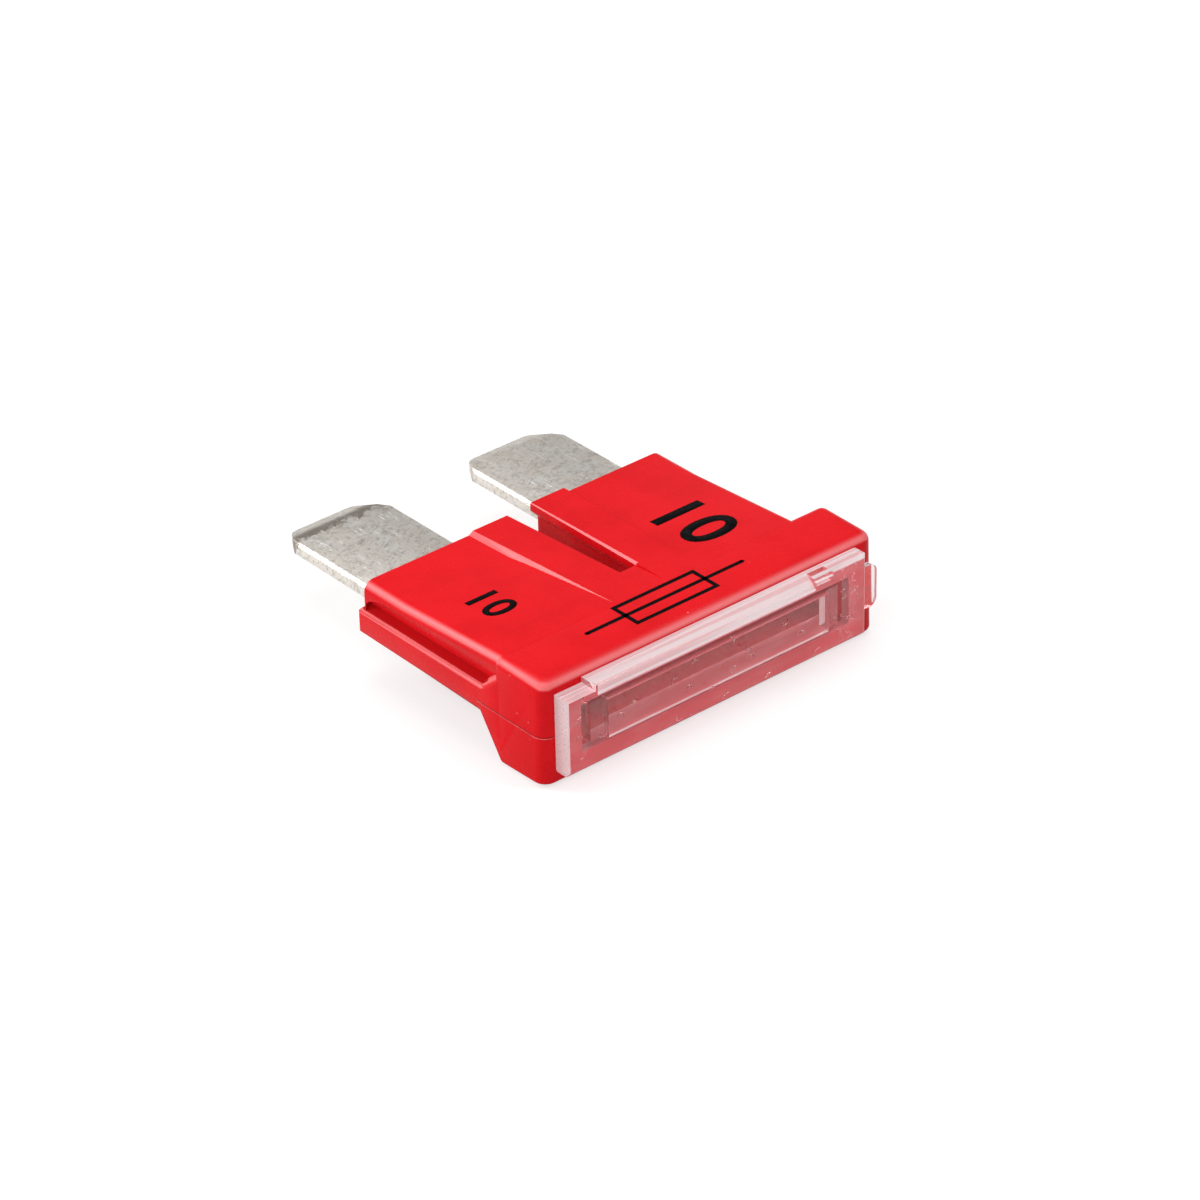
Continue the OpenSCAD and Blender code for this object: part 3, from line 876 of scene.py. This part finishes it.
capLook = {
    "ior": 1.58,
    "specular": 0.25,
    "caughtAfter": 4.5,
    "lightPassed": 0.9,
    "smoothAngle": 25,
    # clear pane
    "tint": (0.98, 0.85, 0.86, 1),
    "cloudedTint": (0.95, 0.80, 0.81, 1),
    "clouded": {"Scale": 2.5, "Cover": 0.3},
    "cloudedShare": 0.4,
    "hooks": {"Scale": 1.0, "Radius": 0.17, "Width": 0.045, "Cover": 0.6},
    "squiggles": {"Scale": 2.0, "Radius": 0.26, "Width": 0.09, "Cover": 0.95},
    "squigglesFrom": 6.6,
    "squigglesTo": 7.6,
    "markedFront": -2.5,
    "markDepth": 0.045 * mm,
    "clearDull": {"scale": 3, "detail": 3},
    "clearDullRamp": (0.4, 0.75, 0.0, 0.06),
    "clearWave": {"scale": 0.9, "detail": 2},
    "clearWaveDepth": 0.004 * mm,
    # frosted outside, its whitish colour painted in as light caught on the edges, and a darker copy
    # on the left side as painted shade
    "paintedFrostTone": (0.93, 0.86, 0.87, 1),
    "frostStreak": (0.85, 0.45, 0.48, 1),
    "frostThrough": 0.36,
    # darker copy of the frost for the left sides: painted shade
    "leftShadeTone": (0.80, 0.62, 0.63, 1),
    "leftShadeThrough": 0.2,
    "streakStretch": (0.07, 6.0, 6.0),
    "streaks": {"scale": 1.0, "detail": 2, "roughness": 0.5},
    "streakRamp": (0.46, 0.58, 0.0, 0.7),
    "streakUpward": (0.3, 0.6),
    "streakDepth": 0.003 * mm,
    "frostDull": {"scale": 1.3, "detail": 2},
    "frostDullRamp": (0.35, 0.7, 0.27, 0.36),
    # faces against the red housing, with the housing's red that shows through them painted into
    # their colour
    "paintedHousingRed": (0.87, 0.17, 0.20, 1),
    "paintedHousingRedPale": (0.90, 0.42, 0.45, 1),
    "redSeenThrough": 0.55,
    "redSeenSpecular": 0.1,
    "redSeenStretch": (0.3, 1.6, 1.6),
    "redSeenClouds": {"scale": 1.0, "detail": 3, "roughness": 0.5},
    "redSeenRamp": (0.4, 0.7, 0.0, 0.5),
    "redSeenDull": {"scale": 4, "detail": 3},
    "redSeenDullRamp": (0.3, 0.7, 0.35, 0.55),
    "redSeenWave": {"scale": 3.0, "detail": 3},
    "redSeenWaveDepth": 0.004 * mm,
    # painted highlight: a bright strip along the window's floor
    "stripPale": (0.92, 0.80, 0.81, 1),
    "stripWhite": (1, 1, 1, 1),
    "stripSpecular": 0.5,
    "stripStretch": (0.5, 4, 4),
    "stripBroken": {"scale": 1.0, "detail": 2},
    "stripRamp": (0.35, 0.6),
    "stripDull": {"scale": 4},
    "stripDullRamp": (0.3, 0.7, 0.2, 0.4),
    # where each finish lies on the cap
    "samePlane": 0.01 * mm,
    "seatGap": 0.02 * mm,
    "seatNear": 0.05 * mm,
    "outsideFrom": 0.03 * mm,
    "sideRim": 0.3 * mm,
    "topRim": 0.6 * mm,
    "tabStart": 8.45 * mm,
    "skirtSide": 7.2 * mm,
    "pocketLeft": 5.1 * mm,
    "pocketRight": 6.3 * mm,
    "pocketLow": 4.2 * mm,
    "windowLow": 1.72 * mm,
    "paneBack": -2.05 * mm,
    "windowLine": 0.13 * mm,
}

# how much of a face's normal has to point a certain way
capFacing = {"straight": 0.99, "nearly": 0.9, "sideways": 0.6, "partly": 0.5, "sloped": 0.45}


def letThrough(tree, shader, output, s):
    # light passes through the cap, and paths that stay caught in it are let out
    path = tree.nodes.new("ShaderNodeLightPath")
    caught = maths(tree, "GREATER_THAN", path.outputs["Ray Depth"], s["caughtAfter"])
    passes = times(tree, path.outputs["Is Shadow Ray"], s["lightPassed"])
    unseen = tree.nodes.new("ShaderNodeBsdfTransparent")
    mixed = tree.nodes.new("ShaderNodeMixShader")
    tree.links.new(largest(tree, passes, caught), mixed.inputs[0])
    tree.links.new(shader.outputs[0], mixed.inputs[1])
    tree.links.new(unseen.outputs[0], mixed.inputs[2])
    tree.links.new(mixed.outputs[0], output.inputs["Surface"])


def newCapPlastic(name, s, specular, through):
    material, tree, output = newMaterial(name)
    shader = newShader(tree, {
        "IOR": s["ior"],
        "Specular IOR Level": specular,
        "Transmission Weight": through,
    })
    return material, tree, output, shader, millimetres(tree)


def clearPlastic(s):
    material, tree, output, shader, place = newCapPlastic("clearPlastic", s, s["specular"], 1)
    clouded = times(tree, effect(tree, blotches, place, **s["clouded"]), s["cloudedShare"])
    x, y, z = axes(tree, place)
    face = tree.nodes.new("ShaderNodeCombineXYZ")
    tree.links.new(x, face.inputs["X"])
    tree.links.new(z, face.inputs["Y"])
    hooks = effect(tree, hookMarks, face.outputs["Vector"], **s["hooks"])
    squiggles = times(
        tree,
        effect(tree, hookMarks, face.outputs["Vector"], **s["squiggles"]),
        maths(tree, "GREATER_THAN", x, s["squigglesFrom"]),
        maths(tree, "LESS_THAN", x, s["squigglesTo"]),
    )
    marks = largest(tree, hooks, squiggles)
    marks = times(tree, marks, maths(tree, "LESS_THAN", y, s["markedFront"]))
    normal = bumpOn(tree, marks, s["markDepth"])
    wave = noiseIn(tree, place, **s["clearWave"])
    feed(tree, shader, {
        "Base Color": mixIn(tree, clouded, s["tint"], s["cloudedTint"]),
        "Roughness": rampIn(tree, noiseIn(tree, place, **s["clearDull"]), *s["clearDullRamp"]),
        "Normal": bumpOn(tree, wave, s["clearWaveDepth"], normal),
    })
    letThrough(tree, shader, output, s)
    return material


def frostedPaintedLightPlastic(s, name, through, paintedFrostTone):
    # outer faces that scatter the light, streaked along the cap where they face up; their whitish
    # tone is painted highlight, and its darker copy on the left sides painted shade
    material, tree, output, shader, place = newCapPlastic(name, s, s["specular"], through)
    streaked = mappingIn(tree, place, s["streakStretch"])
    geometry = tree.nodes.new("ShaderNodeNewGeometry")
    upward = rampIn(tree, axes(tree, geometry.outputs["Normal"])[2], *s["streakUpward"])
    streaks = rampIn(tree, noiseIn(tree, streaked, **s["streaks"]), *s["streakRamp"])
    streaks = times(tree, streaks, upward)
    feed(tree, shader, {
        "Base Color": mixIn(tree, streaks, paintedFrostTone, s["frostStreak"]),
        "Roughness": rampIn(tree, noiseIn(tree, streaked, **s["frostDull"]), *s["frostDullRamp"]),
        "Normal": bumpOn(tree, streaks, s["streakDepth"]),
    })
    letThrough(tree, shader, output, s)
    return material


def redSeenThroughPlastic(s):
    # faces that lie against the red housing; the red that shows through them is painted into their
    # colour
    material, tree, output, shader, place = newCapPlastic(
        "redSeenThroughPlastic", s, s["redSeenSpecular"], s["redSeenThrough"])
    stretched = mappingIn(tree, place, s["redSeenStretch"])
    cloudy = rampIn(tree, noiseIn(tree, stretched, **s["redSeenClouds"]), *s["redSeenRamp"])
    feed(tree, shader, {
        "Base Color": mixIn(tree, cloudy, s["paintedHousingRed"], s["paintedHousingRedPale"]),
        "Roughness": rampIn(tree, noiseIn(tree, place, **s["redSeenDull"]), *s["redSeenDullRamp"]),
        "Normal": bumpOn(tree, noiseIn(tree, place, **s["redSeenWave"]), s["redSeenWaveDepth"]),
    })
    letThrough(tree, shader, output, s)
    return material


def paintedEdgeHighlight(s):
    # painted highlight: the bright strip where the window's floor meets its pane, standing in for
    # light caught on that edge
    material, tree, output = newMaterial("paintedEdgeHighlight")
    shader = newShader(tree, {"Specular IOR Level": s["stripSpecular"]})
    place = millimetres(tree)
    stretched = mappingIn(tree, place, s["stripStretch"])
    broken = rampIn(tree, noiseIn(tree, stretched, **s["stripBroken"]), *s["stripRamp"])
    feed(tree, shader, {
        "Base Color": mixIn(tree, broken, s["stripPale"], s["stripWhite"]),
        "Roughness": rampIn(tree, noiseIn(tree, place, **s["stripDull"]), *s["stripDullRamp"]),
    })
    tree.links.new(shader.outputs[0], output.inputs["Surface"])
    return material


def capFinish(place, normal, s):
    # which finish a face has, from where it lies and which way it faces
    outside = place.y < headFront - s["outsideFrom"]
    sideways = abs(normal.x) > capFacing["sideways"] and abs(place.x) > capSide - s["sideRim"]
    upward = normal.z > capFacing["sloped"] and place.z > capHigh.z - s["topRim"]
    downward = normal.z < -capFacing["sloped"] and place.z < capLow.z + s["topRim"]
    atSeat = abs(place.y - headFront) < s["seatNear"] and place.x < s["tabStart"]
    seated = atSeat and normal.y > capFacing["nearly"]
    onSkirt = place.y > headFront + s["seatNear"] and abs(normal.y) < capFacing["partly"]
    skirt = onSkirt and (abs(place.x) > s["skirtSide"] or abs(normal.z) > capFacing["nearly"])
    inPocket = s["pocketLeft"] < place.x < s["pocketRight"] and place.z > s["pocketLow"]
    pocket = inPocket and place.y < headFront and abs(normal.x) > capFacing["partly"]
    onFloor = abs(place.z - s["windowLow"]) < s["samePlane"] and normal.z > capFacing["straight"]
    # the painted highlight strip along the pane
    if onFloor and place.y < s["paneBack"] + s["windowLine"]:
        return "paintedEdgeHighlight"
    # faces on the seat, underneath, on the skirt and in the pocket get the housing's red painted in
    if seated or downward or skirt or (pocket and normal.y < capFacing["partly"]):
        return "paintedRed"
    # the left outer sides get the darker copy of the frosted finish, as painted shade
    if outside and sideways and place.x < 0:
        return "leftShaded"
    # other outer sides and tops get the frosted finish with its painted highlight
    if outside and (sideways or upward):
        return "frostedLit"
    return "clear"


def addCap(s):
    cap = copyOfNode("window_cap", "clear_cap", s["smoothAngle"])

    def onWindowFloor(place, normal):
        return normal.z > capFacing["straight"] and abs(place.z - s["windowLow"]) < s["samePlane"]

    def onSeat(place, normal):
        return normal.y > capFacing["straight"] and abs(place.y - headFront) < s["samePlane"]

    # a strip of the window's floor beside the pane gets its own faces, for the painted highlight
    pickFaces(cap, onWindowFloor)
    bpy.ops.mesh.bisect(plane_co=(0, s["paneBack"] + s["windowLine"], 0), plane_no=(0, 1, 0))
    bpy.ops.object.mode_set(mode="OBJECT")
    # the seat stands a hair off the housing, and is cut where the tab starts
    pickFaces(cap, onSeat)
    bpy.ops.transform.translate(value=(0, -s["seatGap"], 0))
    bpy.ops.mesh.bisect(plane_co=(s["tabStart"], 0, 0), plane_no=(1, 0, 0))
    bpy.ops.object.mode_set(mode="OBJECT")

    finishes = {
        "clear": clearPlastic(s),
        "frostedLit": frostedPaintedLightPlastic(s, "frostedPaintedLightPlastic", s["frostThrough"], s["paintedFrostTone"]),
        "paintedRed": redSeenThroughPlastic(s),
        "paintedEdgeHighlight": paintedEdgeHighlight(s),
        "leftShaded": frostedPaintedLightPlastic(s, "leftShadedFrost", s["leftShadeThrough"], s["leftShadeTone"]),
    }
    giveMaterials(cap, *finishes.values())
    names = list(finishes)
    for face in cap.data.polygons:
        face.material_index = names.index(capFinish(face.center, face.normal, s))
    return cap


addCamera(cameraSetup)
addStage(stageSetup)
print("camera and stage set")
housing = addHousing(housingLook)
print("housing dressed:", len(housing.data.polygons), "faces")
addPrint(printLook, housing)
print("print laid on the housing")
strip = addStrip(stripLook)
print("blades dressed:", len(strip.data.polygons), "faces")
cap = addCap(capLook)
print("cap dressed:", len(cap.data.polygons), "faces")

bpy.context.scene.view_settings.view_transform = "Standard"

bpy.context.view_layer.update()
dropSelection()
